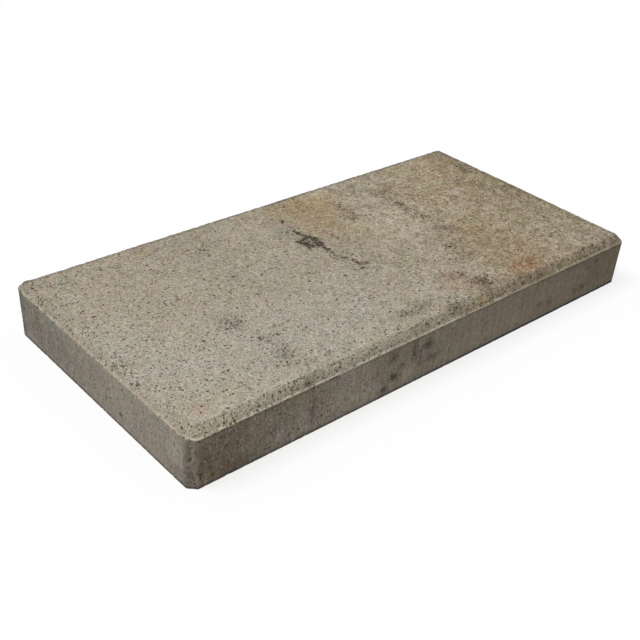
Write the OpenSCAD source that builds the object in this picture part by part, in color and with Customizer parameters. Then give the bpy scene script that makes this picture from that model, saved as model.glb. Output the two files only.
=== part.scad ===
// Flat wall coping slab, pressed from concrete in one piece.
// Its sides stand upright from the bed to the arris. From there a flat lip and a chamfer run round
// the top face, and a 45 degree facet takes the sharpness off each upright corner.

/* [Slab] */
// Overall length, along the wall
slab_length = 500; // [200:5:1000]
// Overall width, across the wall
slab_width = 250; // [120:5:600]
// Overall thickness, from the bed face to the top face
slab_thickness = 50; // [25:1:120]

/* [Weathered edge] */
// Width of the flat lip that the mould leaves at the arris
lip_width = 1.5; // [0.5:0.1:5]
// Width of the chamfer in plan, from the lip to the top face
chamfer_width = 6; // [2:0.5:20]
// Height of the chamfer, from the lip to the top face
chamfer_rise = 7; // [2:0.5:15]

/* [Upright corners] */
// Length that each corner facet takes off the sides it joins
facet_leg = 6; // [1:0.5:20]

/* [Hidden] */
arris_height = slab_thickness - chamfer_rise;
// From the middle of the slab to the plane of a corner facet
facet_distance = (slab_length + slab_width - 2 * facet_leg) / (2 * sqrt(2));
// Long enough for each ridge to run out past the faces that cut its ends
ridge_length = slab_length + slab_width;

// Section across the slab between two opposite faces, each half_width from the middle
module section(half_width) {
    chamfer_foot = half_width - lip_width;
    top_edge = chamfer_foot - chamfer_width;
    polygon([
        [-half_width, 0],
        [half_width, 0],
        [half_width, arris_height],
        [chamfer_foot, arris_height],
        [top_edge, slab_thickness],
        [-top_edge, slab_thickness],
        [-chamfer_foot, arris_height],
        [-half_width, arris_height]
    ]);
}

// Straight ridge of that section, turned about the upright axis
module ridge(half_width, turn)
    rotate([90, 0, turn])
        linear_extrude(ridge_length, center = true) section(half_width);

// What the side faces, the end faces and both pairs of corner facets all leave
module coping_slab()
    color("#a09885")
        intersection() {
            ridge(slab_length / 2, 0);
            ridge(slab_width / 2, 90);
            ridge(facet_distance, 45);
            ridge(facet_distance, -45);
        }

coping_slab();
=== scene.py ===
import math
import random

import bpy
import numpy as np
from mathutils import Matrix, Quaternion, Vector, kdtree, noise


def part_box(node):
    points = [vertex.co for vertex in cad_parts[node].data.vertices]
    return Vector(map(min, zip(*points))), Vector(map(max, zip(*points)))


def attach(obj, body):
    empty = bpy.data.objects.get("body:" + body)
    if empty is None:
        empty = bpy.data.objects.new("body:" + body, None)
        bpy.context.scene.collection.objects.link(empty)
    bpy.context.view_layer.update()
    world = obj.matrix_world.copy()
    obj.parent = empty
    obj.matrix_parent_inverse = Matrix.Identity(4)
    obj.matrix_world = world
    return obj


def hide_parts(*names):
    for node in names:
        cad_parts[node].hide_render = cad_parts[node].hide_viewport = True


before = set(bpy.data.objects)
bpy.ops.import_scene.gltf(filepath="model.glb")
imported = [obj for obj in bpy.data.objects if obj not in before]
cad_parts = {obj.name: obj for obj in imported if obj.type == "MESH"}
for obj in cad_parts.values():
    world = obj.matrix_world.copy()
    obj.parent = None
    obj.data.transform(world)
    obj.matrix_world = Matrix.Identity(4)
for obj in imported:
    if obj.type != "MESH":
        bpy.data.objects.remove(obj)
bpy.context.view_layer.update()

# ---------------------------------------------------------------------------
# Camera. It stands under a metre off, beyond the slab's front left corner and half a metre
# up, and looks down through a short portrait lens. It is held a few degrees off level.
# ---------------------------------------------------------------------------
mm = 0.001
camera_data = bpy.data.cameras.new("camera")
camera_data.lens = 56.3
camera_data.sensor_width = 36.0
camera_place = Vector((-540.7, -556.0, 477.9)) * mm
aims_at = Vector((-59.2, -38.5, 25.0)) * mm
camera_roll = math.radians(3.88)
camera = bpy.data.objects.new("camera", camera_data)
bpy.context.scene.collection.objects.link(camera)
level_view = (aims_at - camera_place).to_track_quat("-Z", "Y")
rolled_view = level_view @ Quaternion((0.0, 0.0, 1.0), camera_roll)
camera.matrix_world = Matrix.Translation(camera_place) @ rolled_view.to_matrix().to_4x4()
bpy.context.scene.camera = camera

# ---------------------------------------------------------------------------
# Coping slab. One piece of semi-dry concrete, rammed into a steel mould and struck at once:
# a sandy, open top face, a chamfer that is rougher still, a smooth bright lip of cement
# where the mould's edge closed, and sides dragged smooth as the mould was lifted.
# ---------------------------------------------------------------------------
slab_low, slab_high = (Vector(corner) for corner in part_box("coping_slab"))
half_length = (slab_high.x - slab_low.x) / 2
half_width = (slab_high.y - slab_low.y) / 2
thickness = slab_high.z - slab_low.z
lip_width = 1.5 * mm
chamfer_width = 6.0 * mm
chamfer_rise = 7.0 * mm
arris_height = thickness - chamfer_rise
facet_leg = 6.0 * mm

# The mesh is a ring of points for each step up the sides, closed by a grid at the top and one
# four times coarser at the bed, so each count of cells divides by four.
cells_along = 344
cells_across = 168
corner_cells = 4
bed_coarser = 4
side_rows = 17


def corner_point(cut, ease, share):
    """Distances (along the side, into the slab) from the corner of the point at that share of the
    way round it. Its facet takes cut off both sides and is eased into them with radius ease."""
    turn = math.pi / 4
    tangent = ease * math.tan(turn / 2)
    facet_length = math.sqrt(2) * (cut - ease * (1 - math.cos(turn)) - ease * math.sin(turn) + tangent)
    arc_length = ease * turn
    run = share * (2 * arc_length + facet_length)
    if run > arc_length + facet_length:
        along, inward = corner_point(cut, ease, 1 - share)
        return inward, along
    angle = min(run / ease, turn)
    past = max(run - arc_length, 0.0) * math.sqrt(0.5)
    along = cut + tangent - ease * math.sin(angle) - past
    inward = ease * (1 - math.cos(angle)) + past
    return along, inward


def side_points(length, cells, half_corner, cut, ease):
    """Points of one side, from the middle of one corner to just before the middle of the next."""
    straight_start = corner_point(cut, ease, 0.0)[0]
    step = (length - 2 * straight_start) / (cells - 2 * half_corner)
    points = []
    for i in range(cells):
        if i < half_corner:
            points.append(corner_point(cut, ease, 0.5 - 0.5 * i / half_corner))
        elif i <= cells - half_corner:
            points.append((straight_start + step * (i - half_corner), 0.0))
        else:
            along, inward = corner_point(cut, ease, 0.5 - 0.5 * (cells - i) / half_corner)
            points.append((length - along, inward))
    return points


def outline(inset, cut, ease):
    """The slab's outline at a distance inside its side faces, anticlockwise from the front left."""
    x, y = half_length - inset, half_width - inset
    ring = []
    for origin, ahead, inwards, length, cells in (
        ((-x, -y), (1, 0), (0, 1), 2 * x, cells_along),
        ((x, -y), (0, 1), (-1, 0), 2 * y, cells_across),
        ((x, y), (-1, 0), (0, -1), 2 * x, cells_along),
        ((-x, y), (0, -1), (1, 0), 2 * y, cells_across),
    ):
        for a, b in side_points(length, cells, corner_cells, cut, ease):
            ring.append(tuple(origin[k] + ahead[k] * a + inwards[k] * b for k in (0, 1)))
    return ring


def sheet_point(i, j, cells_x, cells_y, half_corner, inset, cut, ease):
    """Point (i, j) of a grid that fills the outline at that inset."""
    x, y = half_length - inset, half_width - inset
    straight_start = corner_point(cut, ease, 0.0)[0]
    from_end_i, from_end_j = min(i, cells_x - i), min(j, cells_y - j)
    sign_x = -1 if i < cells_x / 2 else 1
    sign_y = -1 if j < cells_y / 2 else 1
    if from_end_i < half_corner and from_end_j < half_corner:
        layer = half_corner - min(from_end_i, from_end_j)
        if from_end_j <= from_end_i:
            share = (half_corner - from_end_i) / (2 * layer)
            a, b = corner_point(cut, ease, share)
        else:
            share = (half_corner - from_end_j) / (2 * layer)
            b, a = corner_point(cut, ease, share)
        spread = layer / half_corner
        a = straight_start + (a - straight_start) * spread
        b = straight_start + (b - straight_start) * spread
        return sign_x * (x - a), sign_y * (y - b)
    steps = []
    for near, cells, reach in ((from_end_i, cells_x, x), (from_end_j, cells_y, y)):
        if near <= half_corner:
            steps.append(straight_start * near / half_corner)
        else:
            cell = (2 * reach - 2 * straight_start) / (cells - 2 * half_corner)
            steps.append(straight_start + cell * (near - half_corner))
    return sign_x * (x - steps[0]), sign_y * (y - steps[1])


# Section from the bed to the top face: (inset, height, how sandy, how much lip). The side is
# smooth and the rest is open and sandy. The lip's cement is smoothest at the chamfer's foot,
# where it shows as a bright line about a millimetre wide.
bed_ease = 0.2 * mm
arris_ease = 0.5 * mm
top_ease = 0.8 * mm
bottom_shade_full, bottom_shade_end = 1.8 * mm, 3.4 * mm
section = [(bed_ease, 0.0, 0.0, 0.0), (0.3 * bed_ease, 0.3 * bed_ease, 0.0, 0.0)]
section += [(0.0, bed_ease, 0.0, 0.0), (0.0, bottom_shade_full, 0.0, 0.0)]
for row in range(side_rows + 1):
    section.append((0.0, bottom_shade_end + (arris_height - arris_ease - bottom_shade_end) * row / side_rows, 0.0, 0.0))
section.append((0.2 * arris_ease, arris_height - 0.2 * arris_ease, 0.1, 0.0))
section += [(arris_ease, arris_height, 0.25, 0.0), (2 * arris_ease, arris_height, 0.6, 0.1)]
section.append((lip_width, arris_height, 1.0, 1.0))
for share, on_lip in ((0.1, 0.3), (0.26, 0.0), (0.62, 0.0)):
    section.append((lip_width + chamfer_width * share, arris_height + chamfer_rise * share, 1.0, on_lip))
chamfer_end = lip_width + chamfer_width
section.append((chamfer_end - 0.4 * top_ease, thickness - 0.7 * top_ease, 1.0, 0.0))
section.append((chamfer_end + 0.3 * top_ease, thickness - 0.15 * top_ease, 1.0, 0.0))
top_inset = chamfer_end + 1.6 * top_ease
section.append((top_inset, thickness, 1.0, 0.0))

# The facet is crisp at the bed, rounder at the lip, and soon closes up as the chamfer rises.
bed_corner_ease = 1.6 * mm
lip_corner_ease = 4.5 * mm
top_cut = 1.4 * mm
top_corner_ease = 1.2 * mm


def corner_at(inset, height):
    """(cut, ease) of the corner facets at that inset and height."""
    share = inset / top_inset
    cut = top_cut + (facet_leg - top_cut) * (1 - share) ** 2
    side_ease = bed_corner_ease + (lip_corner_ease - bed_corner_ease) * min(height / arris_height, 1.0) ** 2
    return cut, side_ease + (top_corner_ease - side_ease) * share


points, sandy, lip = [], [], []
rings = []
for inset, height, open_face, on_lip in section:
    start = len(points)
    points += [(x, y, height) for x, y in outline(inset, *corner_at(inset, height))]
    rings.append(list(range(start, len(points))))
    sandy += [open_face] * (len(points) - start)
    lip += [on_lip] * (len(points) - start)
ring_size = len(rings[0])
faces = []
for lower, upper in zip(rings, rings[1:]):
    for k in range(ring_size):
        n = (k + 1) % ring_size
        faces.append((lower[k], lower[n], upper[n], upper[k]))


def edge_index(i, j, cells_x, cells_y):
    """Place along the ring of a grid point on the grid's edge, or None inside it."""
    if j == 0:
        return i
    if i == cells_x:
        return cells_x + j
    if j == cells_y:
        return 2 * cells_x + cells_y - i
    if i == 0:
        return (2 * cells_x + 2 * cells_y - j) % (2 * (cells_x + cells_y))
    return None


def fill(ring, cells_x, cells_y, half_corner, inset, height, open_face, upward):
    """Closes a ring with a grid of quads."""
    corner = corner_at(inset, height)
    index = {}
    for i in range(cells_x + 1):
        for j in range(cells_y + 1):
            place = edge_index(i, j, cells_x, cells_y)
            if place is None:
                index[i, j] = len(points)
                points.append((*sheet_point(i, j, cells_x, cells_y, half_corner, inset, *corner), height))
                sandy.append(open_face)
            else:
                index[i, j] = ring[place]
    for i in range(cells_x):
        for j in range(cells_y):
            quad = (index[i, j], index[i + 1, j], index[i + 1, j + 1], index[i, j + 1])
            faces.append(quad if upward else quad[::-1])


fill(rings[-1], cells_along, cells_across, corner_cells, top_inset, thickness, 1.0, True)

# The bed's ring drops to a quarter of its points a little way in, and a coarse grid closes it.
bed_inset = bed_ease + 4.0 * mm
start = len(points)
coarse = outline(bed_inset, *corner_at(bed_inset, 0.0))[::bed_coarser]
points += [(x, y, 0.0) for x, y in coarse]
sandy += [0.3] * len(coarse)
bed_ring = list(range(start, len(points)))
for k in range(len(bed_ring)):
    inner, inner_next = bed_ring[k], bed_ring[(k + 1) % len(bed_ring)]
    outer = [rings[0][(bed_coarser * k + m) % ring_size] for m in range(bed_coarser + 1)]
    faces += [(outer[1], outer[0], inner), (outer[2], outer[1], inner)]
    faces += [(inner_next, outer[2], inner)]
    faces += [(outer[3], outer[2], inner_next), (outer[4], outer[3], inner_next)]
fill(
    bed_ring, cells_along // bed_coarser, cells_across // bed_coarser, corner_cells // bed_coarser,
    bed_inset, 0.0, 0.3, False,
)

slab_mesh = bpy.data.meshes.new("pressed_slab")
slab_mesh.from_pydata(points, [], faces)
slab_mesh.update()
slab = bpy.data.objects.new("pressed_slab", slab_mesh)
bpy.context.scene.collection.objects.link(slab)

# Relief. Everything is pressed in from the mould's own surface: a sandy grain and slow
# unevenness on the open faces, drag lines up the sides, pits left by trapped air, and
# crumbs lost along the arris, the top's edge and the bottom edge.
count = len(points)
place = np.array(points)
sandy = np.array(sandy)
lip = np.array(lip + [0.0] * (count - len(lip)))
outward = np.empty(count * 3)
slab_mesh.vertex_normals.foreach_get("vector", outward)
outward = outward.reshape(-1, 3)
height = place[:, 2].copy()


def noise_at(size, stretch=(1.0, 1.0, 1.0), offset=0.0):
    """Smooth noise from -1 to 1 at every point, with lumps of that size, longer where stretched."""
    scaled = place / (size * np.array(stretch)) + offset
    return np.array([noise.noise(Vector(p)) for p in scaled])


grain = noise_at(2.9 * mm)
lumps = noise_at(6.5 * mm, offset=7.3)
waves = noise_at(42.0 * mm, offset=3.1)
drag = noise_at(3.2 * mm, (1.0, 1.0, 14.0), 5.7)
broad_drag = noise_at(9.0 * mm, (1.0, 1.0, 9.0), 1.9)
upright = np.abs(outward[:, 2]) < 0.7
on_side = (sandy == 0.0) * upright
sand_depth = 0.16 * np.maximum(-grain, 0.0) + 0.12 * np.maximum(-lumps, 0.0) + 0.12 * np.maximum(waves, 0.0)
drag_depth = 0.08 * np.maximum(drag, 0.0) + 0.10 * np.maximum(broad_drag, 0.0)
depth = sandy * sand_depth * mm
depth += on_side * drag_depth * mm

finder = kdtree.KDTree(count)
for k, p in enumerate(points):
    finder.insert(p, k)
finder.balance()
pit = np.zeros(count)


def press_in(centre, radius, deep):
    """A dent of that radius and depth, deepest in the middle, about the nearest point of the mesh."""
    centre = finder.find(centre)[0]
    for _, k, away in finder.find_range(centre, radius):
        share = 1.0 - (away / radius) ** 2
        depth[k] = max(depth[k], deep * share + 0.5 * depth[k])
        pit[k] = max(pit[k], share * min(deep / (0.6 * mm), 1.0))


def on_outline(run, inset, level):
    """A point that far round the slab, at that inset and height."""
    x, y = half_length - inset, half_width - inset
    run = run % (4 * (x + y))
    if run < 2 * x:
        return Vector((-x + run, -y, level))
    if run < 2 * x + 2 * y:
        return Vector((x, -y + run - 2 * x, level))
    if run < 4 * x + 2 * y:
        return Vector((x - (run - 2 * x - 2 * y), y, level))
    return Vector((-x, y - (run - 4 * x - 2 * y), level))


random.seed(12)
perimeter = 4 * (half_length + half_width)
top_pits, chamfer_pits, side_pits, edge_crumbs, arris_crumbs, bed_crumbs = 300, 220, 260, 200, 150, 100
for _ in range(top_pits):
    x = random.uniform(chamfer_end - half_length, half_length - chamfer_end)
    y = random.uniform(chamfer_end - half_width, half_width - chamfer_end)
    press_in(Vector((x, y, thickness)), random.uniform(1.4, 2.0) * mm, random.uniform(0.2, 0.5) * mm)
for _ in range(chamfer_pits):
    share = random.random()
    centre = on_outline(
        random.uniform(0, perimeter), lip_width + chamfer_width * share, arris_height + chamfer_rise * share
    )
    press_in(centre, random.uniform(1.3, 2.0) * mm, random.uniform(0.15, 0.5) * mm)
for _ in range(side_pits):
    centre = on_outline(random.uniform(0, perimeter), 0.0, random.uniform(3 * mm, arris_height - 3 * mm))
    press_in(centre, random.uniform(1.3, 2.2) * mm, random.uniform(0.15, 0.45) * mm)
for _ in range(edge_crumbs):
    centre = on_outline(random.uniform(0, perimeter), chamfer_end, thickness)
    press_in(centre, random.uniform(1.2, 2.2) * mm, random.uniform(0.15, 0.45) * mm)
for _ in range(arris_crumbs):
    centre = on_outline(random.uniform(0, perimeter), 0.0, arris_height - random.choice((0.0, 1.5 * mm)))
    press_in(centre, random.uniform(1.3, 2.2) * mm, random.uniform(0.2, 0.5) * mm)
for _ in range(bed_crumbs):
    centre = on_outline(random.uniform(0, perimeter), 0.0, 0.0)
    press_in(centre, random.uniform(1.0, 2.2) * mm, random.uniform(0.1, 0.35) * mm)

# The largest pits stand alone, and the rest crowd where the mix was too dry to close. A crowd
# is its middle on the top and its spread, in mm, and its number of pits.
for x, y in (
    (-126, -63), (64, 57), (65, 78), (76, 46), (113, 12), (206, 82), (92, -43), (63, -84),
    (124, -5), (-226, 40), (139, -83), (191, -117), (206, -117), (-94, 78), (-152, -34),
    (-177, -37), (-139, -59), (-101, 27), (-37, 36), (-53, -16), (19, 28), (145, 26), (233, 14),
    (74, -58), (176, -37), (214, -54), (187, -84), (-2, -58),
):
    press_in(Vector((x * mm, y * mm, thickness)), 2.2 * mm, 0.65 * mm)
for x, y, spread, number in (
    (-143, -31, 5, 7), (-139, -57, 6, 6), (-138, -100, 7, 7), (-222, 97, 14, 8), (-236, 100, 8, 6),
    (-152, 16, 8, 3), (-138, 68, 6, 3), (-197, -86, 10, 4), (-235, -62, 10, 6), (-179, -40, 8, 5),
    (-94, 36, 9, 4), (-40, 40, 9, 5), (-8, -101, 18, 9), (24, -112, 7, 6), (60, 52, 8, 8),
    (66, 70, 6, 6), (116, 42, 6, 10), (119, 74, 6, 6), (117, 18, 7, 6), (66, -100, 7, 8),
    (93, -42, 4, 3), (112, -102, 8, 4), (184, -54, 9, 6), (222, -26, 6, 5), (231, 66, 6, 8),
    (226, 10, 8, 6), (208, -110, 10, 6), (58, -66, 9, 4), (150, -12, 12, 5), (205, 48, 12, 6),
):
    for _ in range(number):
        centre = Vector((random.gauss(x, spread) * mm, random.gauss(y, spread) * mm, thickness))
        press_in(centre, random.uniform(1.5, 2.0) * mm, random.uniform(0.35, 0.6) * mm)

# The front has three crowds more, toward its left end and the bed.
for x, z, spread, number in ((-236, 21, 7, 10), (-245, 12, 6, 10), (-150, 14, 30, 8)):
    for _ in range(number):
        along, level = random.gauss(x, spread) * mm, abs(random.gauss(z, 0.8 * spread)) * mm
        centre = Vector((along, -half_width, level))
        press_in(centre, random.uniform(1.4, 1.9) * mm, random.uniform(0.3, 0.5) * mm)

place -= outward * depth[:, None]

# The pressing isn't quite true: the back left and front right corners are full, the front left
# one is drawn in, and the crest stands out along the back and the right. A swell is its middle
# and its reach along and across, the heights at which it starts and is full, and its shift, in
# mm. The last one is full at the bed and gone at the arris: the front right corner leans in.
for middle, reach, starts_at, full_at, shift in (
    ((-247, 121), (12, 12), 0, 47, (-1.0, 1.4, 2.1)),
    ((-250, -117), (10, 10), -20, 43, (1.1, 0.4, 0.0)),
    ((247, -122), (11, 11), 20, 47, (0.6, -0.6, 0.6)),
    ((-243, 112), (60, 60), 43, 50, (-1.8, 0.4, 0.0)),
    ((0, 118), (330, 14), 43, 50, (0.0, 0.8, 0.0)),
    ((-150, 118), (150, 14), 43, 50, (0.0, 0.7, 0.0)),
    ((243, 95), (16, 260), 43, 50, (2.8, 0.0, 0.0)),
    ((248, -121), (12, 12), 43, 0, (-0.7, 0.2, 0.0)),
):
    away = np.hypot(*((place[:, k] - middle[k] * mm) / (reach[k] * mm) for k in (0, 1)))
    rise = np.clip((height - starts_at * mm) / ((full_at - starts_at) * mm), 0.0, 1.0) ** 2
    place += (np.clip(1.0 - away**2, 0.0, 1.0) ** 2 * rise)[:, None] * np.array(shift) * mm
place = np.clip(place, np.array(slab_low), np.array(slab_high))
slab_mesh.vertices.foreach_set("co", place.ravel())
slab_mesh.polygons.foreach_set("use_smooth", [True] * len(slab_mesh.polygons))
slab_mesh.update()


def hex_colour(code):
    """sRGB hex colour as linear red, green, blue and alpha."""
    channels = [int(code[k : k + 2], 16) / 255 for k in (1, 3, 5)]
    linear = [c / 12.92 if c <= 0.04045 else ((c + 0.055) / 1.055) ** 2.4 for c in channels]
    return (*linear, 1.0)


# Pigment, soot and painted light. The mix was coloured unevenly, and each patch fades out over a
# ragged edge. A few patches are painted light and shade instead, as noted by them.
# The tint multiplies the concrete's own colour, and soot says how thickly charcoal specks crowd.
concrete_colour = "#a59b89"
tint = np.ones((count, 3))
soot = np.zeros(count)
ragged = 0.5 * lumps + 0.5 * noise_at(13.0 * mm, offset=11.0)
on_top = np.clip((height - arris_height) / chamfer_rise, 0.0, 1.0) ** 0.5
on_front = on_side * (outward[:, 1] < -0.6)
on_left = on_side * (outward[:, 0] < -0.6)
front_edge = np.clip((chamfer_end - half_width - place[:, 1]) / (1.0 * mm), 0.0, 1.0)
left_edge = np.clip((chamfer_end - half_length - place[:, 0]) / (1.0 * mm), 0.0, 1.0)
on_chamfer = front_edge * (sandy == 1.0)
stained_faces = {
    "top": (place[:, 0], place[:, 1], on_top),
    "chamfer": (place[:, 0], height, on_chamfer),
    "front": (place[:, 0], height, on_front),
    "left": (place[:, 1], height, on_left),
}


def patch(face, u, v, long, wide, turn=0.0):
    """How much a soft patch covers each point: its middle, length and width on that face, in mm."""
    across, up, share = stained_faces[face]
    c, s = math.cos(math.radians(turn)), math.sin(math.radians(turn))
    du, dv = across - u * mm, up - v * mm
    away = np.hypot((c * du + s * dv) / (long * mm / 2), (c * dv - s * du) / (wide * mm / 2))
    return share * np.clip(np.exp(-away * away) * (1.0 + 0.8 * ragged + 0.5 * grain), 0.0, 1.0)


def tint_towards(code, strength, cover):
    """Turns the tint towards that colour, for stains and for painted light and shade alike."""
    change = np.array(hex_colour(code)[:3]) / np.array(hex_colour(concrete_colour)[:3])
    amount = (strength * cover)[:, None]
    tint[:] = tint * (1 - amount) + tint * change * amount


khaki, ochre, terracotta, umber = "#948468", "#917a4e", "#a0714c", "#776650"
ash, moss, olive, lilac, rust = "#857f72", "#83826f", "#8f8a68", "#898287", "#86705f"
pale, light_and_painted_light, straw, smudge_and_shade = "#aaa396", "#c9c0b0", "#c4b48f", "#453f36"
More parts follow.
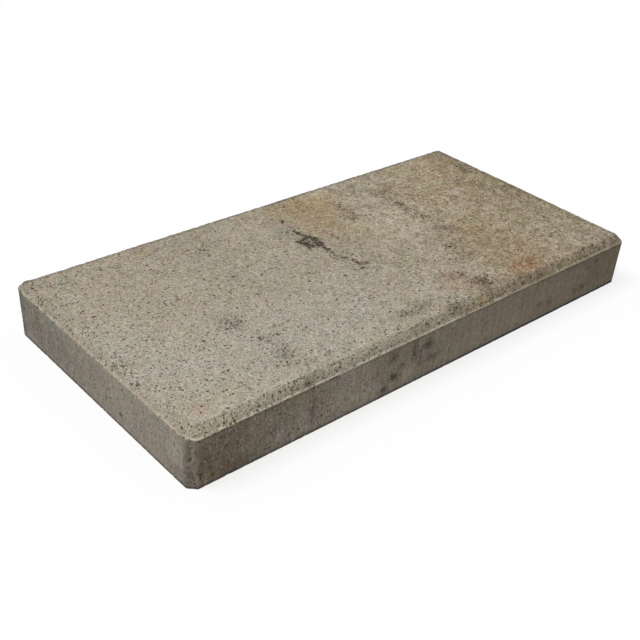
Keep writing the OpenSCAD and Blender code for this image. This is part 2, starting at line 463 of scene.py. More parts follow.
# A patch is its face, pigment, middle, length and width in mm, and strength. The list is in
# order of face, pigment and place.
for face, code, u, v, long, wide, strength in (
    ("top", khaki, -215, 80, 140, 110, 0.15),
    ("top", khaki, 130, -70, 130, 100, 0.40),
    ("top", khaki, 255, 30, 230, 300, 0.75),
    ("top", ochre, -142, 104, 20, 16, 0.35),
    ("top", ochre, 22, 98, 60, 44, 0.60),
    ("top", ochre, 34, 54, 60, 56, 0.50),
    ("top", ochre, 36, -18, 50, 90, 0.14),
    ("top", ochre, 55, 92, 50, 44, 0.40),
    ("top", ochre, 80, 20, 40, 60, 0.06),
    ("top", ochre, 95, -116, 70, 10, 0.18),
    ("top", ochre, 112, -55, 90, 60, 0.20),
    ("top", ochre, 126, -98, 66, 44, 0.46),
    ("top", ochre, 135, -30, 34, 26, 0.30),
    ("top", ochre, 150, 60, 70, 60, 0.15),
    ("top", terracotta, -226, -103, 20, 16, 0.16),
    ("top", terracotta, 22, 66, 40, 40, 0.12),
    ("top", terracotta, 46, -97, 26, 18, 0.16),
    ("top", terracotta, 50, -80, 26, 16, 0.15),
    ("top", terracotta, 124, -110, 22, 14, 0.34),
    ("top", terracotta, 150, -80, 40, 16, 0.15),
    ("top", umber, 52, -80, 30, 20, 0.25),
    ("top", umber, 68, -104, 26, 24, 0.65),
    ("top", umber, 92, -43, 12, 10, 0.25),
    ("top", umber, 128, 80, 24, 20, 0.20),
    ("top", umber, 231, 84, 26, 56, 0.26),
    ("top", ash, -145, -30, 24, 26, 0.25),
    ("top", ash, -130, -84, 28, 70, 0.20),
    ("top", ash, -12, -98, 34, 20, 0.25),
    ("top", ash, 112, -18, 26, 22, 0.40),
    ("top", moss, -102, 36, 30, 84, 0.20),
    ("top", moss, -60, 5, 150, 70, 0.12),
    ("top", moss, -14, 62, 16, 40, 0.40),
    ("top", moss, 60, -15, 40, 24, 0.10),
    ("top", moss, 220, -98, 30, 20, 0.30),
    ("top", olive, -150, -118, 160, 6, 0.12),
    ("top", lilac, -15, 60, 10, 24, 0.30),
    ("top", lilac, 75, -30, 60, 60, 0.12),
    ("top", lilac, 175, -84, 40, 34, 0.16),
    ("top", pale, -240, 20, 60, 240, 0.40),
    ("top", pale, -135, -70, 290, 130, 0.80),
    ("top", pale, 178, -62, 50, 30, 0.25),
    ("top", light_and_painted_light, -228, -10, 50, 130, 0.08),
    ("top", light_and_painted_light, -206, -116, 80, 10, 0.16),
    ("top", light_and_painted_light, -156, -116, 24, 6, 0.20),
    ("top", light_and_painted_light, -45, -95, 20, 20, 0.10),
    ("top", light_and_painted_light, 50, 110, 40, 16, 0.14),
    ("top", light_and_painted_light, 74, 30, 44, 200, 0.26),
    ("top", light_and_painted_light, 80, -94, 20, 18, 0.34),
    ("top", light_and_painted_light, 104, 30, 24, 40, 0.14),
    ("top", light_and_painted_light, 110, -76, 34, 18, 0.22),
    ("top", light_and_painted_light, 140, -92, 24, 14, 0.16),
    ("top", light_and_painted_light, 160, 84, 40, 24, 0.16),
    ("top", light_and_painted_light, 164, 20, 30, 90, 0.12),
    ("top", light_and_painted_light, 166, -66, 34, 50, 0.14),
    ("top", light_and_painted_light, 166, -56, 18, 20, 0.12),
    ("top", straw, -205, -100, 60, 30, 0.14),
    ("top", straw, 44, -94, 20, 16, 0.16),
    ("top", straw, 48, 98, 30, 30, 0.30),
    ("top", straw, 80, 0, 60, 60, 0.12),
    ("top", straw, 125, 10, 40, 120, 0.10),
    ("top", straw, 165, 0, 60, 220, 0.16),
    ("top", straw, 200, 90, 70, 44, 0.20),
    ("top", smudge_and_shade, -240, 112, 22, 20, 0.06),
    ("top", smudge_and_shade, -146, -31, 18, 16, 0.16),
    ("top", smudge_and_shade, -138, -88, 16, 30, 0.10),
    ("top", smudge_and_shade, -134, 86, 24, 16, 0.10),
    ("top", smudge_and_shade, -101, 30, 8, 14, 0.12),
    ("top", smudge_and_shade, -98, 92, 60, 60, 0.15),
    ("top", smudge_and_shade, -85, 108, 130, 16, 0.12),
    ("top", smudge_and_shade, -76, -118, 14, 6, 0.14),
    ("top", smudge_and_shade, -75, 64, 30, 20, 0.11),
    ("top", smudge_and_shade, -15, -101, 40, 14, 0.18),
    ("top", smudge_and_shade, -15, -55, 30, 16, 0.10),
    ("top", smudge_and_shade, -15, 86, 24, 16, 0.09),
    ("top", smudge_and_shade, 0, -35, 44, 56, 0.08),
    ("top", smudge_and_shade, 15, 4, 30, 30, 0.12),
    ("top", smudge_and_shade, 24, -116, 22, 8, 0.62),
    ("top", smudge_and_shade, 58, 50, 24, 10, 0.14),
    ("top", smudge_and_shade, 60, 4, 50, 24, 0.08),
    ("top", smudge_and_shade, 65, 68, 14, 28, 0.16),
    ("top", smudge_and_shade, 66, -117, 16, 8, 0.24),
    ("top", smudge_and_shade, 66, -102, 18, 12, 0.20),
    ("top", smudge_and_shade, 105, -117, 16, 10, 0.28),
    ("top", smudge_and_shade, 105, -95, 16, 12, 0.12),
    ("top", smudge_and_shade, 115, 42, 10, 66, 0.10),
    ("top", smudge_and_shade, 118, -10, 18, 16, 0.16),
    ("top", smudge_and_shade, 118, 76, 20, 8, 0.18),
    ("top", smudge_and_shade, 130, -117, 14, 6, 0.14),
    ("top", smudge_and_shade, 152, -113, 40, 8, 0.18),
    ("top", smudge_and_shade, 165, 4, 20, 16, 0.10),
    ("top", smudge_and_shade, 225, -112, 24, 8, 0.16),
    ("top", smudge_and_shade, 228, -114, 16, 10, 0.16),
    ("top", smudge_and_shade, 228, 12, 30, 44, 0.12),
    ("top", smudge_and_shade, 228, 107, 26, 14, 0.20),
    ("top", smudge_and_shade, 232, 68, 12, 26, 0.14),
    ("top", smudge_and_shade, 246, -116, 8, 12, 0.45),
    ("chamfer", khaki, -135, 46, 110, 30, 0.18),
    ("chamfer", ochre, 100, 46, 110, 30, 0.18),
    ("chamfer", umber, 110, 46, 260, 30, 0.34),
    ("chamfer", olive, -135, 46, 110, 30, 0.16),
    # These light patches are painted light: they lift the front chamfer, which turns away from the lamp.
    ("chamfer", light_and_painted_light, -232, 46, 50, 30, 0.30),
    ("chamfer", light_and_painted_light, -184, 46, 56, 30, 0.60),
    ("chamfer", light_and_painted_light, -120, 46, 36, 30, 0.62),
    ("chamfer", light_and_painted_light, -80, 46, 40, 30, 0.56),
    ("chamfer", light_and_painted_light, 10, 46, 40, 30, 0.34),
    ("chamfer", light_and_painted_light, 85, 46, 40, 26, 0.86),
    ("chamfer", straw, -225, 46, 60, 30, 0.36),
    ("chamfer", straw, 45, 46, 40, 30, 0.60),
    ("chamfer", straw, 165, 46, 30, 30, 0.25),
    ("chamfer", smudge_and_shade, -143, 46, 10, 20, 0.22),
    ("chamfer", smudge_and_shade, 27, 46, 18, 20, 0.12),
    ("front", ochre, -152, 41, 10, 6, 0.60),
    ("front", ochre, 60, 22, 100, 60, 0.06),
    ("front", ochre, 135, 41, 12, 6, 0.35),
    ("front", terracotta, 232, 26, 8, 20, 0.12),
    ("front", umber, -228, 20, 60, 70, 0.50),
    ("front", umber, 145, 22, 120, 60, 0.12),
    ("front", umber, 225, 30, 110, 60, 0.60),
    ("front", moss, -165, 28, 20, 30, 0.30),
    ("front", moss, 108, 33, 24, 16, 0.35),
    ("front", lilac, -15, 24, 16, 14, 0.50),
    ("front", rust, -216, 8, 24, 12, 0.50),
    ("front", rust, 0, 21, 2000, 500, 0.30),
    # The light patch at the left facet and those low down near the bed are painted light over shade.
    ("front", light_and_painted_light, -246, 16, 6, 60, 0.50),
    ("front", light_and_painted_light, -160, 18, 40, 40, 0.42),
    ("front", light_and_painted_light, -120, 9, 140, 24, 0.44),
    ("front", light_and_painted_light, -100, 26, 56, 60, 0.50),
    ("front", light_and_painted_light, -40, 12, 24, 26, 0.44),
    ("front", light_and_painted_light, 45, 10, 130, 24, 0.26),
    ("front", light_and_painted_light, 246, 10, 12, 16, 0.15),
    ("front", smudge_and_shade, -200, 9, 30, 10, 0.14),
    ("front", smudge_and_shade, -180, 38, 12, 10, 0.14),
    ("front", smudge_and_shade, -178, 20, 18, 12, 0.18),
    ("front", smudge_and_shade, -141, 22, 6, 22, 0.45),
    ("front", smudge_and_shade, -65, 7, 7, 6, 0.80),
    ("front", smudge_and_shade, -58, 36, 11, 12, 0.34),
    ("front", smudge_and_shade, -56, 16, 8, 6, 0.80),
    ("front", smudge_and_shade, -48, 23, 6, 5, 0.65),
    ("front", smudge_and_shade, -35, 34, 4, 16, 0.65),
    ("front", smudge_and_shade, -27, 20, 4, 14, 0.60),
    ("front", smudge_and_shade, -20, 32, 11, 8, 0.58),
    ("front", smudge_and_shade, -13, 17, 16, 5, 0.62),
    ("front", smudge_and_shade, 127, 15, 8, 6, 0.45),
    ("front", smudge_and_shade, 141, 14, 8, 6, 0.45),
    # Painted shade just under the lip along the front's right part.
    ("front", smudge_and_shade, 150, 40, 150, 12, 0.16),
    ("front", smudge_and_shade, 180, 13, 8, 6, 0.52),
    ("front", smudge_and_shade, 192, 13, 7, 6, 0.52),
    ("front", smudge_and_shade, 205, 36, 7, 6, 0.45),
    ("left", terracotta, 88, 24, 10, 60, 0.22),
    ("left", umber, 93, 22, 14, 40, 0.40),
    ("left", ash, -127, 34, 12, 24, 0.50),
    ("left", moss, 62, 22, 100, 90, 0.45),
    ("left", lilac, -119, 18, 12, 30, 0.16),
    ("left", lilac, -60, 21, 160, 500, 0.14),
    ("left", lilac, 70, 21, 110, 500, 0.28),
    ("left", lilac, 107, 18, 18, 30, 0.50),
    ("left", rust, -40, 16, 100, 30, 0.12),
    ("left", pale, -60, 24, 90, 60, 0.50),
    ("left", light_and_painted_light, -106, 28, 26, 36, 0.20),
    # Painted shade along the left edge of the front left facet, in the next two patches.
    ("left", smudge_and_shade, -118.2, 22, 5.4, 70, 0.32),
    ("left", smudge_and_shade, -118, 35, 8, 22, 0.34),
    ("left", smudge_and_shade, -108, 9, 30, 14, 0.34),
    ("left", smudge_and_shade, -93, 24, 3, 18, 0.30),
    ("left", smudge_and_shade, -86, 38, 26, 10, 0.18),
    ("left", smudge_and_shade, -45, 9, 24, 12, 0.12),
    ("left", smudge_and_shade, -35, 12, 5, 4, 0.80),
    ("left", smudge_and_shade, 0, 22, 24, 40, 0.10),
    ("left", smudge_and_shade, 68, 13, 56, 28, 0.17),
    ("left", smudge_and_shade, 107, 36, 16, 16, 0.28),
    ("left", smudge_and_shade, 118, 9, 18, 12, 0.26),
    ("left", smudge_and_shade, 118, 22, 12, 80, 0.45),
):
    tint_towards(code, strength, patch(face, u, v, long, wide))
tint_towards(terracotta, 0.52, patch("top", 116, -104, 34, 22, turn=10))

# The top's back and right edges are darker, partly dirt and partly painted shade on the crest.
# Painted shade darkens the upright corners, and painted shadow lies under the lip and along the
# chamfer's foot.
edge_dirt_and_shade, foot_shade_colour = "#3f3a31", "#4b4438"
x, y = place[:, 0], place[:, 1]
# Partly dirt and partly painted shade along the top's far crest.
far_rim = np.clip((x - 235 * mm) / (9 * mm), 0.0, 1.0) * 0.55
far_rim *= np.clip((y + 124 * mm) / (14 * mm), 0.0, 1.0)
far_rim = np.maximum(far_rim, np.clip((y - 113.5 * mm) / (3 * mm), 0.0, 1.0) * np.where(x < 0, 0.48, 0.70))
far_rim *= np.clip((height - 47.4 * mm) / (2 * mm), np.where(x < -238 * mm, 0.4, 0.06), 1.0)
tint_towards(edge_dirt_and_shade, 0.85, far_rim * (sandy > 0.5) * np.clip(1.0 + 0.7 * ragged, 0.0, 1.0))
# Painted shade on the upright corners; the front one is stronger higher up.
corner_shade = on_front * np.clip((x - 241 * mm) / (5 * mm), 0.0, 1.0) * np.clip(height / (40 * mm), 0.1, 0.6)
corner_shade += on_left * np.clip((y - 115 * mm) / (5 * mm), 0.0, 0.4)
tint_towards(edge_dirt_and_shade, 0.55, corner_shade)
# Painted shadow in a band just under the lip on the front.
under_lip_shadow = (sandy < 0.7) * front_edge * (outward[:, 0] > -0.6)
under_lip_shadow *= np.clip((height - arris_height + 2.4 * mm) / (2 * mm), 0.0, 1.0)
tint_towards(edge_dirt_and_shade, 0.55, under_lip_shadow * np.clip(0.8 + 0.8 * ragged, 0.0, 1.0))
# Painted shade in the crease along the chamfer's foot, behind the lip, lighter on the left.
chamfer_foot_shade = np.maximum(front_edge, 0.4 * left_edge) * (sandy == 1.0)
chamfer_foot_shade *= np.clip(1.0 - np.abs(height - arris_height - 1.6 * mm) / (2.4 * mm), 0.0, 1.0)
tint_towards(foot_shade_colour, 0.28, chamfer_foot_shade * np.clip(0.8 + 0.8 * ragged, 0.0, 1.0))


def smear(strength, path, face="top"):
    """Soot rubbed along a path of points across, up and radius, in mm. One point makes a dot."""
    across, up, share = stained_faces[face]
    for (u0, v0, r0), (u1, v1, r1) in zip(path, path[1:] or path):
        run_u, run_v = (u1 - u0) * mm, (v1 - v0) * mm
        square = max(run_u * run_u + run_v * run_v, 1e-12)
        along = np.clip(((across - u0 * mm) * run_u + (up - v0 * mm) * run_v) / square, 0.0, 1.0)
        away = np.hypot(across - u0 * mm - along * run_u, up - v0 * mm - along * run_v)
        cover = np.clip((r0 + (r1 - r0) * along - away / mm) / 4.0 + 0.6 + 0.3 * ragged, 0.0, 1.0)
        soot[:] = np.maximum(soot, strength * share * cover)


# One charcoal mark lies across the middle of the top: a thick knot, with a thin tail each way
# that breaks into dots. A lighter smear lies on the left chamfer.
smear(0.92, ((-7, 62, 1.4), (-6, 53, 2.4), (-4, 47, 3.0), (-1, 40, 3.2), (-1, 33, 2.8), (-3, 25, 2.2)))
smear(0.90, ((-17, 43, 2.4), (-13, 36, 3.4), (-14, 30, 2.8), (-8, 29, 2.8), (-3, 27, 2.8)))
smear(0.75, ((-16, 42, 2.4), (-9, 44, 2.4), (-4, 46, 2.4)))
smear(0.70, ((-10, 37, 3.0), (-5, 33, 3.0)))
smear(0.82, ((-3, 25, 2.0), (-4, 18, 1.6), (-4, 10, 1.6)))
smear(0.66, ((-4, 10, 2.0), (-5, 4, 1.2), (-1, -3, 1.8)))
for dot in (
    (-1, -4, 2.4), (1, -11, 2.2), (2, -16, 2.4), (5, -19, 1.8), (9, -20, 1.8), (0, -26, 2.0), (-3, 82, 2.2),
):
    smear(0.80, (dot,))
smear(0.50, ((-246, -20, 1.4), (-249, -34, 1.6)))
# Elsewhere the specks crowd in patches: face, middle, length and width in mm, and strength.
for face, u, v, long, wide, strength in (
    ("top", -238, 40, 22, 150, 0.14),
    ("top", -236, -60, 22, 110, 0.12),
    ("top", -226, 100, 34, 20, 0.22),
    ("top", -145, -31, 20, 18, 0.42),
    ("top", -138, -88, 18, 34, 0.34),
    ("top", -137, -60, 14, 18, 0.28),
    ("top", -96, 78, 12, 12, 0.20),
    ("top", -14, -101, 40, 16, 0.30),
    ("top", -9, 38, 20, 24, 0.50),
    ("top", -6, 8, 12, 40, 0.30),
    ("top", -6, 66, 14, 30, 0.30),
    ("top", 15, -115, 36, 12, 0.35),
    ("top", 24, -108, 22, 18, 0.34),
    ("top", 58, 52, 16, 12, 0.34),
    ("top", 60, -84, 22, 14, 0.40),
    ("top", 65, 68, 16, 26, 0.34),
    ("top", 66, -116, 18, 10, 0.30),
    ("top", 68, -102, 26, 20, 0.50),
    ("top", 92, -43, 14, 12, 0.45),
    ("top", 95, -66, 26, 14, 0.26),
    ("top", 95, 100, 30, 16, 0.30),
    ("top", 105, -116, 20, 12, 0.35),
    ("top", 114, 45, 14, 60, 0.42),
    ("top", 116, 14, 16, 24, 0.42),
    ("top", 117, -14, 22, 24, 0.34),
    ("top", 118, 75, 22, 12, 0.42),
    ("top", 125, -52, 40, 14, 0.28),
    ("top", 150, -14, 30, 14, 0.26),
    ("top", 184, -52, 30, 16, 0.28),
    ("top", 190, 10, 160, 220, 0.14),
    ("top", 200, -117, 40, 8, 0.30),
    ("top", 205, 84, 16, 14, 0.34),
    ("top", 224, -26, 20, 12, 0.36),
    ("top", 227, 10, 20, 34, 0.34),
    ("top", 231, 70, 20, 36, 0.34),
    ("chamfer", -190, 46, 130, 30, 0.26),
    ("chamfer", -143, 46, 10, 20, 0.40),
    ("chamfer", -105, 46, 100, 30, 0.26),
    ("chamfer", 22, 46, 50, 30, 0.30),
    ("chamfer", 80, 46, 80, 26, 0.34),
    ("chamfer", 120, 46, 24, 20, 0.25),
    ("front", -236, 19, 24, 14, 0.18),
    ("front", -178, 20, 18, 14, 0.24),
    ("front", -130, 21, 260, 80, 0.14),
    ("front", -65, 7, 10, 8, 0.60),
    ("front", -58, 34, 16, 14, 0.40),
    ("front", -56, 16, 12, 9, 0.60),
    ("front", -48, 23, 9, 8, 0.45),
    ("front", -32, 30, 14, 22, 0.45),
    ("front", -18, 33, 16, 12, 0.45),
    ("front", -13, 17, 20, 8, 0.50),
    ("front", 134, 15, 26, 8, 0.25),
    ("front", 190, 13, 34, 9, 0.30),
    ("left", 90, 16, 8, 24, 0.20),
):
    soot[:] = np.maximum(soot, strength * patch(face, u, v, long, wide))

# The lip's bright cement is partly a painted highlight. It is brightest at the front left corner
# and breaks up along both edges. Painted shade darkens the foot of the sides. Toward the right
# end the mix is coarser on the top, while the sides lose their grain and half their specks.
lip_breaks = np.clip(0.9 + 2.2 * noise_at(9.0 * mm, offset=21.0), 0.0, 1.0)
front_lip = front_edge * np.clip(0.5 - x / (600 * mm), 0.15, 1.0)
left_lip = left_edge * np.clip(0.15 - y / (600 * mm), 0.0, 0.3)
lip *= np.maximum(front_lip, left_lip) * lip_breaks
# Painted shade along the bottom edge of the sides, darker toward the right end of the front.
bottom_edge_shade = upright * np.clip((bottom_shade_end - height) / (bottom_shade_end - bottom_shade_full), 0.0, 1.0)
bottom_edge_shade *= np.where(outward[:, 1] < -0.3, np.clip(0.75 + x / (300 * mm), 0.55, 1.0), 0.6)
coarser = np.clip((x + 120 * mm) / (260 * mm), 0.0, 1.0)
side_rough = np.where(outward[:, 0] < -0.6, 0.45, 1.0 - coarser)
speckled = 1.0 - 0.5 * coarser * (1.0 - sandy)
attribute = slab_mesh.color_attributes.new("stain_and_light_tint", "FLOAT_COLOR", "POINT")
attribute.data.foreach_set("color", np.c_[tint, np.ones(count)].ravel())
point_values = {
    "sandy": sandy, "pit": pit, "soot": soot, "lip": lip, "bottom_edge_shade": bottom_edge_shade, "coarser": coarser,
    "side_rough": side_rough, "speckled": speckled,
}
for name, values in point_values.items():
    attribute = slab_mesh.attributes.new(name, "FLOAT", "POINT")
    attribute.data.foreach_set("value", values)

# Material: pressed concrete. Sand of a millimetre or two stands in a matt grey-beige cement,
# so the open faces are speckled light and dark, and the sides are flatter and streaked.
pale_grit_colour, dark_grit_colour, hole_shade_colour = "#cdc5b6", "#4b402c", "#423726"
lip_highlight_colour, charcoal_colour, bottom_shade_colour = "#e2dac9", "#241a0a", "#25221d"
pressed_concrete = bpy.data.materials.new("pressed_concrete")
pressed_concrete.use_nodes = True
tree = pressed_concrete.node_tree
tree.nodes.clear()


def add(kind, inputs=(), **settings):
    """A new node in the tree at hand, with its settings and with its sockets set or linked.
    A node given for a socket stands for its first output."""
    node = tree.nodes.new(kind)
    for name, value in settings.items():
        setattr(node, name, value)
    for socket, value in dict(inputs).items():
        if isinstance(value, bpy.types.Node):
            value = value.outputs[0]
        if isinstance(value, bpy.types.NodeSocket):
            tree.links.new(value, node.inputs[socket])
        else:
            node.inputs[socket].default_value = value
    return node


spot = add("ShaderNodeTexCoord").outputs["Object"]
stain_and_light_mark = add("ShaderNodeAttribute", attribute_name="stain_and_light_tint", attribute_type="GEOMETRY")
marks = {}
for name in point_values:
    mark = add("ShaderNodeAttribute", attribute_name=name, attribute_type="GEOMETRY")
    marks[name] = mark.outputs["Fac"]

# Grain. Fine sand is drawn at a millimetre, the finest that shows, over slower mottling. Each
# shade multiplies and is 1 on average. It swings by one amount at the left, another at the right.
fine_sand = add("ShaderNodeTexNoise", {"Vector": spot, "Scale": 1 / (1.1 * mm), "Detail": 1.0})
coarse_sand = add("ShaderNodeTexNoise", {"Vector": spot, "Scale": 1 / (2.6 * mm), "Detail": 2.0})
mottle = add("ShaderNodeTexNoise", {"Vector": spot, "Scale": 1 / (9 * mm), "Detail": 3.0, "Roughness": 0.6})
clotted = add("ShaderNodeMath", {0: marks["coarser"], 1: marks["sandy"]}, operation="MULTIPLY")
shades = []
for pattern, low, high, to_right, left_swing, right_swing in (
    (fine_sand, 0.25, 0.75, marks["coarser"], 0.46, 0.32),
    (coarse_sand, 0.3, 0.7, marks["coarser"], 0.10, 0.26),
    (mottle, 0.3, 0.7, clotted, 0.06, 0.26),
):
    at_left, at_right = (
        add("ShaderNodeMapRange", {0: pattern, 1: low, 2: high, 3: 1 - swing, 4: 1 + swing})
        for swing in (left_swing, right_swing)
    )
    shades.append(add("ShaderNodeMix", {0: to_right, 2: at_left, 3: at_right}))
fine_shade, coarse_shade, mottle_shade = shades
sand_shade = add("ShaderNodeMath", {0: fine_shade, 1: coarse_shade}, operation="MULTIPLY")

# The sides have the mould's drag lines, about 2 mm apart and sixteen times as long, under a
# softer grain, and they are calmer toward the right end.
drawn_up = add("ShaderNodeVectorMath", {0: spot, 1: (1.0, 1.0, 0.06)}, operation="MULTIPLY")
drag_lines = add("ShaderNodeTexNoise", {"Vector": drawn_up, "Scale": 1 / (2.0 * mm), "Detail": 3.0})
side_shade = add("ShaderNodeMapRange", {0: drag_lines, 1: 0.3, 2: 0.7, 3: 0.82, 4: 1.18})
side_grain = add("ShaderNodeMapRange", {0: fine_sand, 1: 0.25, 2: 0.75, 3: 0.58, 4: 1.42})
side_grain = add("ShaderNodeMix", {0: marks["side_rough"], 2: 1.0, 3: side_grain})
side_blot = add("ShaderNodeMapRange", {0: coarse_sand, 1: 0.3, 2: 0.7, 3: 0.84, 4: 1.16})
for factor in (side_grain, side_blot):
    side_shade = add("ShaderNodeMath", {0: side_shade, 1: factor}, operation="MULTIPLY")
calm = add("ShaderNodeMath", {0: marks["coarser"], 1: 0.35}, operation="MULTIPLY")
side_shade = add("ShaderNodeMix", {0: calm, 2: side_shade, 3: 1.0})
grain_shade = add("ShaderNodeMix", {0: marks["sandy"], 2: side_shade, 3: sand_shade})

# Grit: every cell is one coarse grain, and its three random numbers say how light it is,
# whether it is a dark speck, and whether it is a pale one.
wander = add("ShaderNodeTexNoise", {"Vector": spot, "Scale": 1 / (2.5 * mm)}).outputs["Color"]
wander = add("ShaderNodeVectorMath", {0: wander, 1: (0.5, 0.5, 0.5)}, operation="SUBTRACT")
bent = add("ShaderNodeVectorMath", {0: wander, 1: (2.2 * mm,) * 3, 2: spot}, operation="MULTIPLY_ADD")
grit = add("ShaderNodeTexVoronoi", {"Vector": bent, "Scale": 1 / (2.0 * mm)})
lightness, dark_chance, pale_chance = add("ShaderNodeSeparateColor", {0: grit.outputs["Color"]}).outputs
grit_middle = add("ShaderNodeMapRange", {0: grit, 1: 0.35, 2: 0.55, 3: 1.0, 4: 0.0})
crowding = add("ShaderNodeTexNoise", {"Vector": spot, "Scale": 1 / (24 * mm), "Detail": 2.0})
crowd_share = add("ShaderNodeMapRange", {0: crowding, 1: 0.35, 2: 0.7, 3: 0.02, 4: 0.19})
dark_share = add("ShaderNodeMath", {0: marks["soot"], 1: 0.8, 2: crowd_share}, operation="MULTIPLY_ADD")
dark_pick = add("ShaderNodeMath", {0: dark_chance, 1: dark_share}, operation="LESS_THAN")
dark_grit = add("ShaderNodeMath", {0: grit_middle, 1: dark_pick}, operation="MULTIPLY")
pale_pick = add("ShaderNodeMath", {0: pale_chance, 1: 0.10}, operation="LESS_THAN")
pale_grit = add("ShaderNodeMath", {0: grit_middle, 1: pale_pick}, operation="MULTIPLY")
grit_shade = add("ShaderNodeMapRange", {0: lightness, 1: 0.0, 2: 1.0, 3: 0.9, 4: 1.1})

# Pinholes are rounder and larger than the grit, in about a third of the cells. They and the pits
# of the mesh are darkened as painted shade, over a rough edge.
pinholes = add("ShaderNodeTexVoronoi", {"Vector": bent, "Scale": 1 / (4.4 * mm)})
pinhole_chance = add("ShaderNodeSeparateColor", {0: pinholes.outputs["Color"]})
pinhole_size = add("ShaderNodeMapRange", {0: pinhole_chance, 1: 0.6, 2: 1.0, 3: 0.0, 4: 0.3})
pinhole_edge = add("ShaderNodeMath", {0: pinhole_size, 1: pinholes}, operation="SUBTRACT")
pinhole = add("ShaderNodeMapRange", {0: pinhole_edge, 1: -0.02, 2: 0.06, 3: 0.0, 4: 1.0})
pit_rough = add("ShaderNodeMath", {0: fine_sand, 1: 0.8, 2: marks["pit"]}, operation="MULTIPLY_ADD")
pit_mark = add("ShaderNodeMapRange", {0: pit_rough, 1: 0.78, 2: 1.02, 3: 0.0, 4: 1.0})
hole = add("ShaderNodeMath", {0: pinhole, 1: pit_mark}, operation="MAXIMUM")

# Charcoal shows as specks where it is thin and closes up where it is thick.
crowd = add("ShaderNodeMath", {0: fine_sand, 1: 1.3, 2: marks["soot"]}, operation="MULTIPLY_ADD")
crowd = add("ShaderNodeMath", {0: coarse_sand, 1: 2.4, 2: crowd}, operation="MULTIPLY_ADD")
charcoal = add("ShaderNodeMapRange", {0: crowd, 1: 2.30, 2: 2.52, 3: 0.0, 4: 1.0})
thinned = add("ShaderNodeMapRange", {0: fine_sand, 1: 0.35, 2: 0.65, 3: 1.0, 4: 0.78})

# The mix itself drifts a little in hue over a centimetre or two, but not in how light it is.
drift = add("ShaderNodeTexNoise", {"Vector": spot, "Scale": 1 / (15 * mm), "Detail": 2.0, "Roughness": 0.6})
drift = drift.outputs["Color"]
level = add("ShaderNodeVectorMath", {0: drift, 1: (0.25, 0.65, 0.1)}, operation="DOT_PRODUCT")
hue = add("ShaderNodeVectorMath", {0: drift, 1: level.outputs["Value"]}, operation="SUBTRACT")
drift_tint = add("ShaderNodeVectorMath", {0: hue, 1: (0.19,) * 3, 2: (1.0,) * 3}, operation="MULTIPLY_ADD")

# Toward the right end the sand was earthier, in clots of a few millimetres.
clots = add("ShaderNodeTexNoise", {"Vector": spot, "Scale": 1 / (5.0 * mm), "Detail": 1.5, "Roughness": 0.5})
earthy = add("ShaderNodeMapRange", {0: clots, 1: 0.5, 2: 0.6, 3: 0.0, 4: 0.7})
earthy = add("ShaderNodeMath", {0: earthy, 1: clotted}, operation="MULTIPLY")
earth_tint = (0.70, 0.655, 0.59, 1.0)

# The shade is warmer where it is darker, as the sand between the pale grains is browner.
shade = grain_shade
for factor in (mottle_shade, grit_shade):
    shade = add("ShaderNodeMath", {0: shade, 1: factor}, operation="MULTIPLY")
channels = {0: shade}
for channel, at_left, at_right in ((1, 1.07, 1.12), (2, 1.2, 1.36)):
    power = add("ShaderNodeMapRange", {0: marks["coarser"], 1: 0.0, 2: 1.0, 3: at_left, 4: at_right})
    channels[channel] = add("ShaderNodeMath", {0: shade, 1: power}, operation="POWER")
warm_shade = add("ShaderNodeCombineColor", channels)

# Tints multiply the cement's colour, and then the specks, the lip with its painted highlight and
# the painted shade at the bottom edge cover it.
cement = hex_colour(concrete_colour)
for amount, layer in ((1.0, stain_and_light_mark), (1.0, drift_tint), (1.0, warm_shade), (earthy, earth_tint)):
    tinted = add("ShaderNodeMix", {0: amount, 6: cement, 7: layer}, data_type="RGBA", blend_type="MULTIPLY")
    cement = tinted.outputs[2]
for code, *factors in (
    (pale_grit_colour, pale_grit, 0.5, marks["speckled"]),
    (lip_highlight_colour, marks["lip"], 0.9),
    (dark_grit_colour, dark_grit, 0.72, marks["speckled"]),
    (hole_shade_colour, hole, 0.85, marks["speckled"]),
    (charcoal_colour, charcoal, thinned),
    (bottom_shade_colour, marks["bottom_edge_shade"], 0.9),
):
    amount = factors[0]
    for factor in factors[1:]:
        amount = add("ShaderNodeMath", {0: amount, 1: factor}, operation="MULTIPLY")
    covered = add("ShaderNodeMix", {0: amount, 6: cement, 7: hex_colour(code)}, data_type="RGBA")
    cement = covered.outputs[2]

# The grain too fine for the mesh stands up as bump, about a third of a millimetre on the top.
sunk = add("ShaderNodeMath", {0: hole, 1: dark_grit}, operation="ADD")
relief = add("ShaderNodeMath", {0: sunk, 1: -0.8, 2: shade}, operation="MULTIPLY_ADD")
relief_share = add("ShaderNodeMapRange", {0: marks["sandy"], 1: 0.0, 2: 1.0, 3: 0.35, 4: 1.0})
raised = add("ShaderNodeMath", {0: relief, 1: relief_share}, operation="MULTIPLY")
bump = add("ShaderNodeBump", {"Height": raised, "Strength": 1.0, "Distance": 0.3 * mm})
roughness = add("ShaderNodeMapRange", {0: marks["sandy"], 1: 0.0, 2: 1.0, 3: 0.8, 4: 0.95})
surface = add(
    "ShaderNodeBsdfPrincipled",
    {"Base Color": cement, "Roughness": roughness, "Specular IOR Level": 0.3, "Normal": bump},
)
add("ShaderNodeOutputMaterial", {"Surface": surface})
slab_mesh.materials.append(pressed_concrete)

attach(slab, "root")
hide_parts("coping_slab")

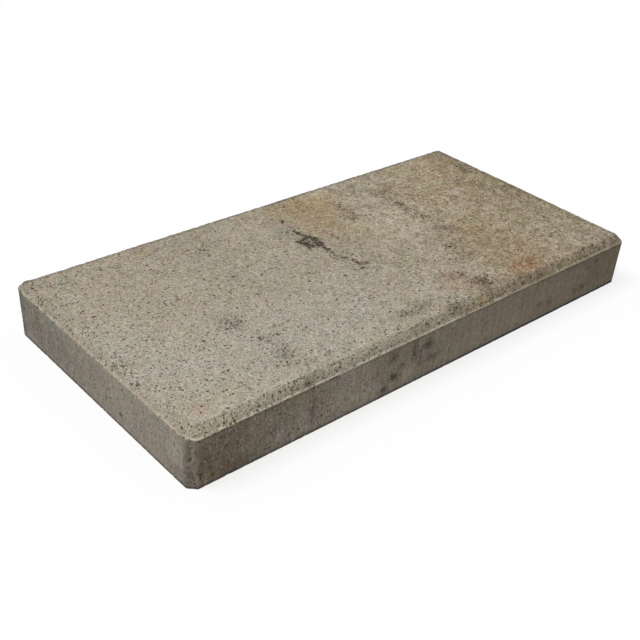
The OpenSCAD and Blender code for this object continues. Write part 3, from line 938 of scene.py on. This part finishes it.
# ---------------------------------------------------------------------------
# Floor and light. A matt white studio floor and soft light from high on the left. The floor
# shows white but sends back less light than white paint would, so the sides stay in shade.
# ---------------------------------------------------------------------------
white, dimmer_white = "#ffffff", "#949494"
floor_reach = 6.0
floor_mesh = bpy.data.meshes.new("studio_floor")
corner_signs = ((-1, -1), (1, -1), (1, 1), (-1, 1))
floor_corners = [(floor_reach * x, floor_reach * y, slab_low.z) for x, y in corner_signs]
floor_mesh.from_pydata(floor_corners, [], [(0, 1, 2, 3)])
floor = bpy.data.objects.new("studio_floor", floor_mesh)
bpy.context.scene.collection.objects.link(floor)
floor_paint = bpy.data.materials.new("floor_paint")
floor_paint.use_nodes = True
tree = floor_paint.node_tree
tree.nodes.clear()


def seen_directly():
    """1 on the way from the camera, a reflection or a clear body, and 0 for light that spreads."""
    path = add("ShaderNodeLightPath").outputs
    seen = path["Is Camera Ray"]
    for way in ("Is Glossy Ray", "Is Transmission Ray"):
        seen = add("ShaderNodeMath", {0: seen, 1: path[way]}, operation="MAXIMUM").outputs[0]
    return seen


# A fifth of what is seen is the paint itself, which takes the slab's shadow.
seen = seen_directly()
colour = add("ShaderNodeMix", {0: seen, 6: hex_colour(dimmer_white), 7: hex_colour(white)}, data_type="RGBA")
paint = add("ShaderNodeBsdfDiffuse", {"Color": colour.outputs[2]})
glow = add("ShaderNodeEmission", {"Color": hex_colour(white), "Strength": 1.0})
glow_share = add("ShaderNodeMath", {0: seen, 1: 0.8}, operation="MULTIPLY")
shown = add("ShaderNodeMixShader", {0: glow_share, 1: paint, 2: glow})
add("ShaderNodeOutputMaterial", {"Surface": shown})
floor_mesh.materials.append(floor_paint)

# The sky gives the top face this share of its light, and the lamp gives it the rest, so its
# colours show as they are written. The lamp also adds light to faces turned left or back.
sky_share = 0.45
world = bpy.data.worlds.new("studio")
world.use_nodes = True
tree = world.node_tree
tree.nodes.clear()
strength = add("ShaderNodeMapRange", {0: seen_directly(), 1: 0.0, 2: 1.0, 3: sky_share, 4: 1.0})
sky = add("ShaderNodeBackground", {"Color": hex_colour(white), "Strength": strength})
add("ShaderNodeOutputWorld", {"Surface": sky})
bpy.context.scene.world = world

lamp_from = Vector((-0.25, 0.14, 1.0 - sky_share))
lamp_data = bpy.data.lights.new("soft_lamp", "SUN")
lamp_data.energy = math.pi * lamp_from.length
lamp_data.angle = math.radians(30)
lamp = bpy.data.objects.new("soft_lamp", lamp_data)
lamp.matrix_world = lamp_from.to_track_quat("Z", "Y").to_matrix().to_4x4()
bpy.context.scene.collection.objects.link(lamp)

bpy.context.scene.view_settings.view_transform = "Standard"
